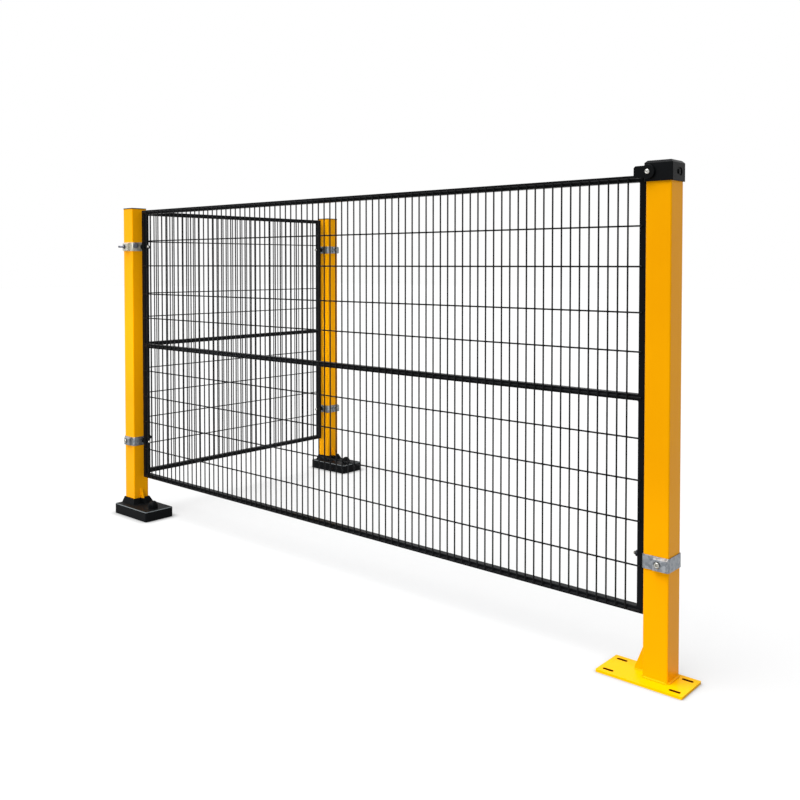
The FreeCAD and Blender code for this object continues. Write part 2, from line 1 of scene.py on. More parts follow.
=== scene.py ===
import bpy
import math
from mathutils import Matrix, Vector


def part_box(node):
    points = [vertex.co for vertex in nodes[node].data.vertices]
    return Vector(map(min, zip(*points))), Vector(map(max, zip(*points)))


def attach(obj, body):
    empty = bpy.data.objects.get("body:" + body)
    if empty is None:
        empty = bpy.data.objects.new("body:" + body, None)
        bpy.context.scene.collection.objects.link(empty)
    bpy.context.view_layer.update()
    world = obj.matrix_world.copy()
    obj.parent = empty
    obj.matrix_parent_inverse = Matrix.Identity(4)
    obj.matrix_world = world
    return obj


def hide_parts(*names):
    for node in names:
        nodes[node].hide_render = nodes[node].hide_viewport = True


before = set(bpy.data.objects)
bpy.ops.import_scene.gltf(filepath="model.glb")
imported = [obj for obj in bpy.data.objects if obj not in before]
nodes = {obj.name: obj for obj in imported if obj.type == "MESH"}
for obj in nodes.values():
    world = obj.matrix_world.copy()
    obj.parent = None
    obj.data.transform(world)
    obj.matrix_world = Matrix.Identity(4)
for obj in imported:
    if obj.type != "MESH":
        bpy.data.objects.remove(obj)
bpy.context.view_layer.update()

FENCE = "fence"


# The photographer's place: a little over two metres from the right post, at about the height of the
# panel's upper third, looking back along the long panel to the corner. The sensor is dropped instead of the
# camera, so that uprights stay upright.
CAMERA_PLACE = (2.9897, -1.8922, 0.9327)
CAMERA_HEADING = math.radians(41.28)
CAMERA_DIP = math.radians(1.608)
SENSOR_WIDTH = 36
FOCAL_LENGTH = 40.49
SENSOR_DROP = 0.1375
NEAREST = 0.05
lens = bpy.data.cameras.new("photo_lens")
lens.sensor_width = SENSOR_WIDTH
lens.lens = FOCAL_LENGTH
lens.shift_y = -SENSOR_DROP
lens.clip_start = NEAREST
camera = bpy.data.objects.new("photo_camera", lens)
camera.location = CAMERA_PLACE
camera.rotation_euler = (math.pi / 2 - CAMERA_DIP, 0, CAMERA_HEADING)
bpy.context.collection.objects.link(camera)
bpy.context.scene.camera = camera


# The studio: an even white room under one very large, high light from the front left. Three soft boxes with
# grids help it: one brings up the corner from the front right, one reaches the far post through the mesh, and
# a low one lifts the foot of the right post.
ROOM_LEVEL = 0.65
ROOM_COLOUR = "#FBFDFF"
PAPER_WHITE = "#FFFFFF"
CEILING_FROM = (-0.24, -0.38, 0.89)
CEILING_STRENGTH = 3.5
CEILING_SPREAD = math.radians(50)
CORNER_BOX = {"place": (1.2, -2.4, 1.0), "aim": (-0.1, 0.6, 0.4), "size": 0.7, "grid": 80, "watts": 6.0}
FAR_BOX = {"place": (1.0, -1.2, 0.9), "aim": (0, 1.0, 0.55), "size": 0.5, "grid": 30, "watts": 1.2}
FOOT_BOX = {"place": (2.2, -1.0, 0.2), "aim": (2.1, 0, 0.05), "size": 0.35, "grid": 45, "watts": 0.22}


def linear(colour):
    """sRGB hex colour as the linear colour that a shader takes."""
    parts = [int(colour[place:place + 2], 16) / 255 for place in (1, 3, 5)]
    return (*(part / 12.92 if part <= 0.04045 else ((part + 0.055) / 1.055) ** 2.4 for part in parts), 1)


def add(tree, kind, sockets=None, **settings):
    """Adds one shader node: settings are its properties, sockets its inputs, by value or by link."""
    made = tree.nodes.new("ShaderNode" + kind)
    for name, value in settings.items():
        setattr(made, name, value)
    for name, value in (sockets or {}).items():
        if isinstance(value, bpy.types.NodeSocket):
            tree.links.new(value, made.inputs[name])
        else:
            made.inputs[name].default_value = value
    return made


def looked_at(tree):
    """1 where the camera looks, straight or by way of metal or glass, and 0 for light that reaches a piece."""
    ray = add(tree, "LightPath")
    straight = ray.outputs["Is Camera Ray"]
    seen = add(tree, "Math", {0: straight, 1: ray.outputs["Is Glossy Ray"]}, operation="MAXIMUM").outputs[0]
    return add(tree, "Math", {0: seen, 1: ray.outputs["Is Transmission Ray"]}, operation="MAXIMUM").outputs[0]


bpy.context.scene.view_settings.view_transform = "Standard"
world = bpy.data.worlds.new("white_studio")
bpy.context.scene.world = world
world.use_nodes = True
tree = world.node_tree
tree.nodes.clear()
room = add(tree, "Background", {"Color": linear(ROOM_COLOUR), "Strength": ROOM_LEVEL})
backdrop = add(tree, "Background", {"Color": linear(PAPER_WHITE), "Strength": 1.0})
shown = add(tree, "MixShader", {0: looked_at(tree), 1: room.outputs[0], 2: backdrop.outputs[0]})
add(tree, "OutputWorld", {"Surface": shown.outputs[0]})

ceiling_light = bpy.data.lights.new("ceiling_light", "SUN")
ceiling_light.energy = CEILING_STRENGTH
ceiling_light.angle = CEILING_SPREAD
ceiling = bpy.data.objects.new("ceiling_light", ceiling_light)
ceiling.rotation_euler = (-Vector(CEILING_FROM)).to_track_quat("-Z", "Y").to_euler()
bpy.context.collection.objects.link(ceiling)
for name, box in (("corner_softbox", CORNER_BOX), ("far_post_softbox", FAR_BOX), ("foot_softbox", FOOT_BOX)):
    softbox_light = bpy.data.lights.new(name, "AREA")
    softbox_light.shape = "DISK"
    softbox_light.size = box["size"]
    softbox_light.spread = math.radians(box["grid"])
    softbox_light.energy = box["watts"]
    softbox = bpy.data.objects.new(name, softbox_light)
    softbox.visible_camera = False
    softbox.location = box["place"]
    softbox.rotation_euler = (Vector(box["aim"]) - Vector(box["place"])).to_track_quat("-Z", "Y").to_euler()
    bpy.context.collection.objects.link(softbox)


# The floor is a matt grey sheet to the light that bounces off it, and white paper to the eye, with a share
# of its own shading left in, so that it keeps the soft shadow of the feet and rails, and its white glow is
# darkened close under a plate by an occlusion test: a painted shade.
FLOOR_HALF = 30.0
FLOOR_BOUNCE = "#9E9E9E"
FLOOR_PAPER = "#DADADA"
SHADOW_SHARE = 0.35
CREVICE_REACH = 0.03
CREVICE_DEPTH = 1.6
floor_corners = [(-FLOOR_HALF, -FLOOR_HALF, 0), (FLOOR_HALF, -FLOOR_HALF, 0),
                 (FLOOR_HALF, FLOOR_HALF, 0), (-FLOOR_HALF, FLOOR_HALF, 0)]
floor_mesh = bpy.data.meshes.new("floor")
floor_mesh.from_pydata(floor_corners, [], [(0, 1, 2, 3)])
floor = bpy.data.objects.new("floor", floor_mesh)
bpy.context.collection.objects.link(floor)
paper = bpy.data.materials.new("studio_paper")
paper.use_nodes = True
tree = paper.node_tree
tree.nodes.clear()
bounce = add(tree, "BsdfDiffuse", {"Color": linear(FLOOR_BOUNCE)})
shaded = add(tree, "BsdfDiffuse", {"Color": linear(FLOOR_PAPER)})
# Painted shade: the glow is dimmed where an occlusion test finds the floor closed in.
crevice = add(tree, "AmbientOcclusion", {"Distance": CREVICE_REACH})
openness = add(tree, "Math", {0: crevice.outputs["AO"], 1: CREVICE_DEPTH}, operation="POWER")
glow = add(tree, "Emission", {"Color": linear(PAPER_WHITE), "Strength": openness.outputs[0]})
lifted = add(tree, "MixShader", {0: 1 - SHADOW_SHARE, 1: shaded.outputs[0], 2: glow.outputs[0]})
surface = add(tree, "MixShader", {0: looked_at(tree), 1: bounce.outputs[0], 2: lifted.outputs[0]})
add(tree, "OutputMaterial", {"Surface": surface.outputs[0]})
floor_mesh.materials.append(paper)


# The posts: square steel tube, welded to its base plate and powder coated in one piece in a warm safety
# yellow. The coat is smooth with a satin gloss. Orange peel on a real coat is 1 to 2 mm from crest to
# crest; it is drawn 6 mm wide here, because it would be finer than a pixel in the render.
YELLOW = "#F6A700"
YELLOW_THIN = "#F1A000"
YELLOW_SHEEN = "#FFCE61"
NEUTRAL_SHEEN = "#FFFFFF"
COAT_ROUGHNESS = 0.38
POST_SHINE = 0.1
GLOSS_SPREAD = 0.06
PEEL_WIDTH = 0.006
PEEL_HEIGHT = 0.00005
PEEL_DETAIL = 1.0
CLOUD_WIDTH = 0.3
CLOUD_DETAIL = 3.0
THIN_FILM_BELOW = 0.3
FULL_FILM_ABOVE = 0.6
SEAM_REACH = 0.00001
FLAT_WITHIN = math.radians(0.5)
EDGE_FROM = math.radians(32)


def new_material(name):
    """Empty node material, with its tree and the point on the piece that its patterns follow."""
    made = bpy.data.materials.new(name)
    made.use_nodes = True
    made.node_tree.nodes.clear()
    return made, made.node_tree, add(made.node_tree, "TexCoord").outputs["Object"]


def powder_coat(name, full, thin, roughness, shine, sheen=NEUTRAL_SHEEN, peel=PEEL_WIDTH):
    """Baked polyester powder: full colour where the film is thick, a slightly other tone where it is thin."""
    made, tree, place = new_material(name)
    cloud = add(tree, "TexNoise", {"Vector": place, "Scale": 1 / CLOUD_WIDTH, "Detail": CLOUD_DETAIL})
    tone = add(tree, "ValToRGB", {"Fac": cloud.outputs["Fac"]})
    tone.color_ramp.elements[0].position = THIN_FILM_BELOW
    tone.color_ramp.elements[0].color = linear(thin)
    tone.color_ramp.elements[1].position = FULL_FILM_ABOVE
    tone.color_ramp.elements[1].color = linear(full)
    ripple = add(tree, "TexNoise", {"Vector": place, "Scale": 1 / peel, "Detail": PEEL_DETAIL})
    relief = add(tree, "Bump", {"Strength": 1.0, "Distance": PEEL_HEIGHT, "Height": ripple.outputs["Fac"]})
    gloss = add(tree, "MapRange", {"Value": cloud.outputs["Fac"], "To Min": roughness - GLOSS_SPREAD,
                                   "To Max": roughness + GLOSS_SPREAD})
    film = add(tree, "BsdfPrincipled", {"Base Color": tone.outputs["Color"], "Specular IOR Level": shine,
                                        "Roughness": gloss.outputs["Result"], "Specular Tint": linear(sheen),
                                        "Normal": relief.outputs["Normal"]})
    add(tree, "OutputMaterial", {"Surface": film.outputs["BSDF"]})
    return made


def finish(node_names, material, edge=0.0, rounds=2):
    """Gives CAD nodes their material and, where edge is set, the small round that their real edges have."""
    for name in node_names:
        piece = nodes[name]
        piece.data.materials.clear()
        piece.data.materials.append(material)
        if edge:
            joined = piece.modifiers.new("joined", "WELD")
            joined.merge_threshold = SEAM_REACH
            flat = piece.modifiers.new("flat", "DECIMATE")
            flat.decimate_type = "DISSOLVE"
            flat.angle_limit = FLAT_WITHIN
            broken = piece.modifiers.new("broken_edges", "BEVEL")
            broken.width = edge
            broken.segments = rounds
            broken.limit_method = "ANGLE"
            broken.angle_limit = EDGE_FROM
            broken.harden_normals = True


yellow_coat = powder_coat("powder_coated_steel_yellow", YELLOW, YELLOW_THIN, COAT_ROUGHNESS, POST_SHINE,
                          YELLOW_SHEEN)
finish(["corner_post", "right_post", "side_post"], yellow_coat)


# The base plates and their ribs: laser-cut steel plate with lightly broken edges, welded to the post before
# the coat goes on. The plate's yellow is painted lighter and more lemon than the tube's, a painted highlight
# for its top under the ceiling light, and the walls of its slots get a dark brown painted shade.
PLATE_EDGE = 0.0009
PLATE_YELLOW_PAINTED_LIGHT = "#F9BD00"
PLATE_YELLOW_THIN_PAINTED_LIGHT = "#F6B500"
PLATE_SHINE = 0.05
SLOT_WALL_PAINTED_SHADE = "#5C2E06"
UPRIGHT_WALL = 0.5
PLATE_INSIDE_SHARE = 0.93


def lay_over(tree, share, colour):
    """Lays a colour over a finished material, where share is 1. A Mix node's colours are sockets 6 and 7."""
    base = tree.nodes["Principled BSDF"].inputs["Base Color"]
    mixed = add(tree, "Mix", {0: share, 6: base.links[0].from_socket, 7: linear(colour)}, data_type="RGBA")
    tree.links.new(mixed.outputs[2], base)


# The plate's coat is the post's yellow painted lighter and more lemon: a painted highlight for its lit top.
plate_coat_painted_light = powder_coat("powder_coated_steel_yellow_plate_painted_light", PLATE_YELLOW_PAINTED_LIGHT, PLATE_YELLOW_THIN_PAINTED_LIGHT, COAT_ROUGHNESS,
                         PLATE_SHINE, YELLOW_SHEEN)
tree = plate_coat_painted_light.node_tree
plate_low, plate_high = [Vector(corner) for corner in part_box("right_post_base_plate")]
plate_middle = (plate_low + plate_high) / 2
plate_half = (plate_high - plate_low) / 2
# Dark brown painted shade on the upright walls inside the plate's slots.
around = add(tree, "TexCoord")
offset = add(tree, "VectorMath", {0: around.outputs["Object"], 1: plate_middle}, operation="SUBTRACT")
share = add(tree, "VectorMath", {0: offset.outputs[0], 1: plate_half}, operation="DIVIDE")
reach = add(tree, "VectorMath", {0: share.outputs[0]}, operation="ABSOLUTE")
sides = add(tree, "SeparateXYZ", {0: reach.outputs[0]})
outermost = add(tree, "Math", {0: sides.outputs["X"], 1: sides.outputs["Y"]}, operation="MAXIMUM")
inside = add(tree, "Math", {0: outermost.outputs[0], 1: PLATE_INSIDE_SHARE}, operation="LESS_THAN")
facing = add(tree, "VectorMath", {0: around.outputs["Normal"]}, operation="ABSOLUTE")
lean = add(tree, "SeparateXYZ", {0: facing.outputs[0]})
upright = add(tree, "Math", {0: lean.outputs["Z"], 1: UPRIGHT_WALL}, operation="LESS_THAN")
slot_shade_mask = add(tree, "Math", {0: inside.outputs[0], 1: upright.outputs[0]}, operation="MULTIPLY")
lay_over(tree, slot_shade_mask.outputs[0], SLOT_WALL_PAINTED_SHADE)
finish(["right_post_base_plate", "corner_post_base_plate", "side_post_base_plate"], plate_coat_painted_light, PLATE_EDGE)
finish(["right_post_gusset", "corner_post_gusset", "side_post_gusset"], yellow_coat, PLATE_EDGE)


# The weld seams of the posts: a fillet run round the right tube's foot and along both sides of each rib,
# laid in small overlapping pools that still show as ripples under the coat.
FOOT_WELD_LEG = 0.0045
RIB_WELD_LEG = 0.003
RIPPLE_LENGTH = 0.0035
RIPPLE_DEPTH_SHARE = 0.12
WELD_ROOT_SHARE = 0.1
WELD_HOLLOW_SHARE = 0.22
WELD_END_SHARE = 0.35
WELD_END_RATE = 8
WELD_RINGS = 4
WELD_ARC = 5
DOME_ABOVE_COLLAR = 0.007
RIB_WELD_CLEARANCE = 0.004
UP = (0, 0, 1)


def new_piece(name, verts, faces, material, body=FENCE):
    """Closed mesh piece with smooth shading, its material, slot and body."""
    mesh = bpy.data.meshes.new(name)
    mesh.from_pydata(verts, [], faces)
    mesh.shade_smooth()
    mesh.materials.append(material)
    piece = bpy.data.objects.new(name, mesh)
    bpy.context.collection.objects.link(piece)
    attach(piece, body)
    return piece


def weld_run(verts, faces, start, end, face_a, face_b, leg):
    """Adds one rippled fillet weld from start to end, in the corner between two faces with those normals."""
    along = Vector(end) - Vector(start)
    side_a = Vector(face_a)
    side_b = Vector(face_b)
    if along.dot(side_a.cross(side_b)) < 0:
        side_a, side_b = side_b, side_a
    rings = max(2, round(along.length / RIPPLE_LENGTH)) * WELD_RINGS
    first = len(verts)
    for ring in range(rings + 1):
        share = ring / rings
        taper = min(1, WELD_END_SHARE + WELD_END_RATE * share, WELD_END_SHARE + WELD_END_RATE * (1 - share))
        ripple = abs(math.sin(math.pi * ring / WELD_RINGS))
        size = leg * taper * (1 - RIPPLE_DEPTH_SHARE + RIPPLE_DEPTH_SHARE * ripple)
        middle = Vector(start) + along * share
        verts.append(middle - (side_a + side_b) * leg * WELD_ROOT_SHARE)
        for step in range(WELD_ARC):
            turn = math.pi / 2 * step / (WELD_ARC - 1)
            reach = size * (1 - WELD_HOLLOW_SHARE * math.sin(2 * turn))
            verts.append(middle + side_a * reach * math.cos(turn) + side_b * reach * math.sin(turn))
    count = WELD_ARC + 1
    for ring in range(rings):
        low = first + ring * count
        for corner in range(count):
            after = (corner + 1) % count
            faces.append((low + corner, low + after, low + count + after, low + count + corner))
    faces.append(tuple(first + corner for corner in reversed(range(count))))
    faces.append(tuple(first + rings * count + corner for corner in range(count)))


verts = []
faces = []
foot_low, foot_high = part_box("right_post")
rib_low, rib_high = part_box("right_post_gusset")
plate_top = foot_low[2]
foot_turns = [(foot_low[0], rib_low[1]), (foot_low[0], foot_low[1]), (foot_high[0], foot_low[1]),
              (foot_high[0], foot_high[1]), (foot_low[0], foot_high[1]), (foot_low[0], rib_high[1])]
foot_faces = [(-1, 0, 0), (0, -1, 0), (1, 0, 0), (0, 1, 0), (-1, 0, 0)]
for start, end, face in zip(foot_turns, foot_turns[1:], foot_faces):
    weld_run(verts, faces, (*start, plate_top), (*end, plate_top), face, UP, FOOT_WELD_LEG)
for side_y, side in ((rib_low[1], -1), (rib_high[1], 1)):
    start = (rib_low[0], side_y, plate_top)
    end = (rib_high[0], side_y, plate_top)
    weld_run(verts, faces, start, end, (0, side, 0), UP, RIB_WELD_LEG)
new_piece("right_foot_weld", verts, faces, yellow_coat)
verts = []
faces = []
for post, cover, out in (("right_post", None, -1), ("corner_post", "corner_foot_cover", 1),
                         ("side_post", "side_foot_cover", 1)):
    rib_low, rib_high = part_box(post + "_gusset")
    start_z = rib_low[2]
    if cover:
        start_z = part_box(cover)[1][2] - DOME_ABOVE_COLLAR + RIB_WELD_CLEARANCE
    face_x = rib_low[0] if out > 0 else rib_high[0]
    end_z = rib_high[2] - RIB_WELD_CLEARANCE
    for side_y, side in ((rib_low[1], -1), (rib_high[1], 1)):
        start = (face_x, side_y, start_z)
        end = (face_x, side_y, end_z)
        weld_run(verts, faces, start, end, (0, side, 0), (out, 0, 0), RIB_WELD_LEG)
new_piece("rib_welds", verts, faces, yellow_coat)


# The thin lids of the corner and side posts, the right post's deep cap, the latch and the spacers: black
# polypropylene from a finely etched mould. Flat faces look matt and only rounded edges catch a grey line.
# The etching is really under 0.2 mm wide; it is drawn 2.5 mm wide, as fine as the render shows.
MOULDED_BLACK = "#050607"
MOULDED_BLACK_PALE = "#0C0E10"
PLASTIC_ROUGHNESS = 0.38
PLASTIC_SHINE = 0.07
PLASTIC_IOR = 1.49
ETCHING_WIDTH = 0.0025
ETCHING_DEPTH = 0.0001
ETCHING_DETAIL = 2.0
ETCHING_STRENGTH = 0.6
FLOW_WIDTH = 0.06
FLOW_DETAIL = 4.0
DEEP_BELOW = 0.35
PALE_ABOVE = 0.75
LID_EDGE = 0.0008
LATCH_EDGE = 0.0012
SPACER_EDGE = 0.0006


def moulded(name, roughness, shine):
    """Etched black plastic with faint paler flow marks from the mould."""
    made, tree, place = new_material(name)
    flow = add(tree, "TexNoise", {"Vector": place, "Scale": 1 / FLOW_WIDTH, "Detail": FLOW_DETAIL})
    tone = add(tree, "ValToRGB", {"Fac": flow.outputs["Fac"]})
    tone.color_ramp.elements[0].position = DEEP_BELOW
    tone.color_ramp.elements[0].color = linear(MOULDED_BLACK)
    tone.color_ramp.elements[1].position = PALE_ABOVE
    tone.color_ramp.elements[1].color = linear(MOULDED_BLACK_PALE)
    etching = add(tree, "TexNoise", {"Vector": place, "Scale": 1 / ETCHING_WIDTH, "Detail": ETCHING_DETAIL})
    grain = add(tree, "Bump", {"Strength": ETCHING_STRENGTH, "Distance": ETCHING_DEPTH,
                               "Height": etching.outputs["Fac"]})
    gloss = add(tree, "MapRange", {"Value": flow.outputs["Fac"], "To Min": roughness - GLOSS_SPREAD,
                                   "To Max": roughness + GLOSS_SPREAD})
    plastic = add(tree, "BsdfPrincipled", {"Base Color": tone.outputs["Color"], "IOR": PLASTIC_IOR,
                                           "Roughness": gloss.outputs["Result"], "Specular IOR Level": shine,
                                           "Normal": grain.outputs["Normal"]})
    add(tree, "OutputMaterial", {"Surface": plastic.outputs["BSDF"]})
    return made


black_plastic = moulded("moulded_polypropylene_black", PLASTIC_ROUGHNESS, PLASTIC_SHINE)
finish(["corner_post_cap", "side_post_cap"], black_plastic, LID_EDGE)
finish(["right_post_cap"], black_plastic)
finish(["panel_latch"], black_plastic, LATCH_EDGE, rounds=3)
finish(["panel_spacers"], black_plastic, SPACER_EDGE)


# The foot covers: the same plastic, duller from wear, clipped over the base plates of the corner and side
# posts. The upper rims of the boxes get a pale grey painted highlight.
COVER_ROUGHNESS = 0.5
COVER_SHINE = 0.05
RIM_PAINTED_HIGHLIGHT = "#6C7173"
RIM_HALF = 0.0012
RIM_TILT = 0.6
RIM_TILT_HALF = 0.37
DOME_HEIGHT = 0.026
cover_plastic = moulded("dull_polypropylene_black_rim_highlight", COVER_ROUGHNESS, COVER_SHINE)
tree = cover_plastic.node_tree
around = add(tree, "TexCoord")
spot = add(tree, "SeparateXYZ", {0: around.outputs["Object"]})
# Pale grey painted highlight on the tilted upper rims of the boxes.
rim_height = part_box("corner_foot_cover")[1][2] - DOME_HEIGHT - RIM_HALF
at_rim = add(tree, "Math", {0: spot.outputs["Z"], 1: rim_height, 2: RIM_HALF}, operation="COMPARE")
lean = add(tree, "SeparateXYZ", {0: around.outputs["Normal"]})
tilted = add(tree, "Math", {0: lean.outputs["Z"], 1: RIM_TILT, 2: RIM_TILT_HALF}, operation="COMPARE")
rim_highlight_mask = add(tree, "Math", {0: at_rim.outputs[0], 1: tilted.outputs[0]}, operation="MULTIPLY")
lay_over(tree, rim_highlight_mask.outputs[0], RIM_PAINTED_HIGHLIGHT)
finish(["corner_foot_cover", "side_foot_cover"], cover_plastic)


# The clamps: a strip of pre-galvanised steel bent square round the post and a pressed block that takes the
# bolt. Hot zinc sets in dull blue-grey crystals, a few millimetres wide, each with its own sheen. The corner
# post's upper clamp has a paler, warmer and less metallic zinc than the others: a painted reflection.
ZINC_DARK = "#686D74"
ZINC_PALE = "#A0A4A8"
ZINC_METALLIC = 0.85
PAINTED_REFLECTION_ZINC_DARK = "#A3A195"
PAINTED_REFLECTION_ZINC_PALE = "#C9C6B9"
PAINTED_REFLECTION_ZINC_METALLIC = 0.5
CRYSTAL_WIDTH = 0.006
CRYSTAL_SMOOTHEST = 0.3
CRYSTAL_ROUGHEST = 0.5
BAND_EDGE = 0.0005
BLOCK_EDGE = 0.0012


def galvanised(name, dark, pale, metallic):
    """Hot-dip zinc, in crystals between two tones."""
    made, tree, place = new_material(name)
    crystals = add(tree, "TexVoronoi", {"Vector": place, "Scale": 1 / CRYSTAL_WIDTH})
    tone = add(tree, "ValToRGB", {"Fac": crystals.outputs["Color"]})
    tone.color_ramp.elements[0].color = linear(dark)
    tone.color_ramp.elements[1].color = linear(pale)
    gloss = add(tree, "MapRange", {"Value": crystals.outputs["Color"], "To Min": CRYSTAL_SMOOTHEST,
                                   "To Max": CRYSTAL_ROUGHEST})
    metal = add(tree, "BsdfPrincipled", {"Base Color": tone.outputs["Color"], "Metallic": metallic,
                                         "Roughness": gloss.outputs["Result"]})
    add(tree, "OutputMaterial", {"Surface": metal.outputs["BSDF"]})
    return made


dull_zinc = galvanised("hot_dip_galvanised_steel", ZINC_DARK, ZINC_PALE, ZINC_METALLIC)
# Paler, warmer, less metallic zinc for the corner post's upper clamp: a painted reflection of the light.
painted_reflection_zinc = galvanised("hot_dip_galvanised_steel_painted_reflection", PAINTED_REFLECTION_ZINC_DARK, PAINTED_REFLECTION_ZINC_PALE,
                         PAINTED_REFLECTION_ZINC_METALLIC)
clamp_names = ["corner_upper", "corner_lower", "right_lower", "side_upper", "side_lower"]
for name in clamp_names:
    # The corner post's upper clamp takes the painted-reflection zinc.
    zinc = painted_reflection_zinc if name == "corner_upper" else dull_zinc
    finish([name + "_clamp_band"], zinc, BAND_EDGE)
    finish([name + "_clamp_block"], zinc, BLOCK_EDGE)
finish(["clamp_inserts"], dull_zinc)


# The clamp bolts: M8 socket screws of turned and zinc plated steel. The head has a rolled straight knurl, a
# turned chamfer and a hexagon socket. The corner post's upper one is passivated blue and carries a threaded
# stub instead, beside the broad round head of the band's own screw.
BRIGHT_ZINC = "#A5A196"
BRIGHT_ZINC_PALE = "#C2C3C1"
BRIGHT_ZINC_ROUGHNESS = 0.26
BLUE_ZINC = "#54565F"
BLUE_ZINC_PALE = "#73767F"
BLUE_ZINC_ROUGHNESS = 0.34
STAIN_WIDTH = 0.008
STAIN_DETAIL = 2.0
SHANK_RADIUS = 0.004
HEAD_HEIGHT = 0.008
HEAD_CHAMFER = 0.0008
HEAD_UNDERCUT = 0.0003
STUB_LENGTH = 0.0195
KNURL_TEETH = 36
KNURL_DEPTH = 0.00025
SOCKET_HALF = 0.003
SOCKET_DEPTH = 0.004
SOCKET_LEAD = 0.0004
M8_PITCH = 0.00125
THREAD_DEPTH = 0.00065
THREAD_RINGS = 5
CRISP_FROM = math.radians(28)


def zinc_plated(name, deep, pale, roughness):
    """Turned steel under a zinc plate, which stains in soft patches as it is handled."""
    made, tree, place = new_material(name)
    stains = add(tree, "TexNoise", {"Vector": place, "Scale": 1 / STAIN_WIDTH, "Detail": STAIN_DETAIL})
    tone = add(tree, "ValToRGB", {"Fac": stains.outputs["Fac"]})
    tone.color_ramp.elements[0].color = linear(deep)
    tone.color_ramp.elements[1].color = linear(pale)
    gloss = add(tree, "MapRange", {"Value": stains.outputs["Fac"], "To Min": roughness - GLOSS_SPREAD,
                                   "To Max": roughness + GLOSS_SPREAD})
    metal = add(tree, "BsdfPrincipled", {"Base Color": tone.outputs["Color"], "Metallic": 1.0,
                                         "Roughness": gloss.outputs["Result"]})
    add(tree, "OutputMaterial", {"Surface": metal.outputs["BSDF"]})
    return made


def lathe(verts, faces, place, rings, sides):
    """Adds a closed turned form: each ring is a height and a radius, or a function that gives the radius."""
    first = len(verts)
    for height, radius in rings:
        for side in range(sides):
            turn = 2 * math.pi * side / sides
            reach = radius(side, turn) if callable(radius) else radius
            verts.append(place @ Vector((reach * math.cos(turn), reach * math.sin(turn), height)))
    for ring in range(len(rings) - 1):
        for side in range(sides):
            low = first + ring * sides
            after = (side + 1) % sides
            faces.append((low + side, low + after, low + sides + after, low + sides + side))
    faces.append(tuple(first + side for side in reversed(range(sides))))
    faces.append(tuple(first + (len(rings) - 1) * sides + side for side in range(sides)))


def knurled(radius):
    """Radius that steps in and out once for each tooth."""
    return lambda side, turn: radius - KNURL_DEPTH * (side % 2)


def hexagon(half_width, first_flat=0.0):
    """Radius of a hexagon, by its half width across flats and the turn of its first flat."""
    step = math.pi / 3
    return lambda side, turn: half_width / math.cos((turn - first_flat + step / 2) % step - step / 2)


def thread_rings(start, end, radius, pitch):
    """Rings of a right-hand screw thread with a short lead-in at its far end."""
    count = round((end - start) / pitch * THREAD_RINGS)
    rings = []
    for ring in range(count + 1):
        height = start + (end - start) * ring / count
        lead = min(1, (end - height) / pitch)

        def cut(side, turn, height=height, lead=lead):
            phase = (height / pitch - turn / (2 * math.pi)) % 1
            return radius - THREAD_DEPTH * (1 - lead * (1 - abs(2 * phase - 1)))
        rings.append((height, cut))
    return rings


def outward(middle, direction):
    """Places a turned form at middle with its axis along direction."""
    return Matrix.Translation(middle) @ Vector(direction).to_track_quat("Z", "Y").to_matrix().to_4x4()


def crisp(piece):
    """Keeps the corners of a turned or milled piece sharp in its shading."""
    parted = piece.modifiers.new("crisp_corners", "EDGE_SPLIT")
    parted.split_angle = CRISP_FROM


bright_zinc = zinc_plated("bright_zinc_plated_steel", BRIGHT_ZINC, BRIGHT_ZINC_PALE, BRIGHT_ZINC_ROUGHNESS)
blue_zinc = zinc_plated("blue_passivated_zinc_steel", BLUE_ZINC, BLUE_ZINC_PALE, BLUE_ZINC_ROUGHNESS)
finish(["corner_band_screw"], blue_zinc)
for name in clamp_names:
    low, high = [Vector(corner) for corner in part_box(name + "_clamp_bolt")]
    axis = 1 if low.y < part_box(name + "_clamp_band")[0][1] else 0
    inner = (low + high) / 2
    inner[axis] = high.y if axis else low.x
    head_radius = (high.z - low.z) / 2
    length = high[axis] - low[axis]
    head_top = length - STUB_LENGTH if name == "corner_upper" else length
    head_foot = head_top - HEAD_HEIGHT
    rings = [(0, SHANK_RADIUS), (head_foot, SHANK_RADIUS), (head_foot, head_radius - KNURL_DEPTH),
             (head_foot + HEAD_UNDERCUT, knurled(head_radius)),
             (head_top - HEAD_CHAMFER, knurled(head_radius)), (head_top, head_radius - HEAD_CHAMFER)]
    if name == "corner_upper":
        rings.append((head_top, SHANK_RADIUS))
        rings += thread_rings(head_top, length, SHANK_RADIUS, M8_PITCH)
    else:
        rings += [(head_top, SOCKET_HALF + 2 * SOCKET_LEAD), (head_top - SOCKET_LEAD, hexagon(SOCKET_HALF)),
                  (head_top - SOCKET_DEPTH, hexagon(SOCKET_HALF))]
    verts = []
    faces = []
    lathe(verts, faces, outward(inner, (0, -1, 0) if axis else (1, 0, 0)), rings, 2 * KNURL_TEETH)
    plating = blue_zinc if name == "corner_upper" else bright_zinc
    bolt = new_piece(name + "_socket_screw", verts, faces, plating, name + "_bolt")
    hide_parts(name + "_clamp_bolt")
    crisp(bolt)


# The studs and nuts that hold the panels: bright M8 threaded rod from the band through the stile, and a
# hexagon nut on the stile's inner side, plated black to go with the frame. The nut's corners are turned off
# to a cone.
BLACK_ZINC = "#1C1D20"
BLACK_ZINC_PALE = "#2E3034"
BLACK_ZINC_ROUGHNESS = 0.4
STUD_SIDES = 24
STUD_END = 0.012
NUT_SIDES = 48
NUT_HALF = 0.0065
NUT_HEIGHT = 0.0065
NUT_DROPS = (0, 0.0002, 0.0005, 0.0009)
NUT_CONE = math.tan(math.radians(30))
NUT_FLAT = math.pi / 2
NUT_LEAD = 0.0004


def turned_off(drop):
    """Radius of a hexagon nut at a small drop below its end, where a cone takes off the corners."""
    corners = hexagon(NUT_HALF, NUT_FLAT)
    return lambda side, turn: min(corners(side, turn), NUT_HALF + drop / NUT_CONE)


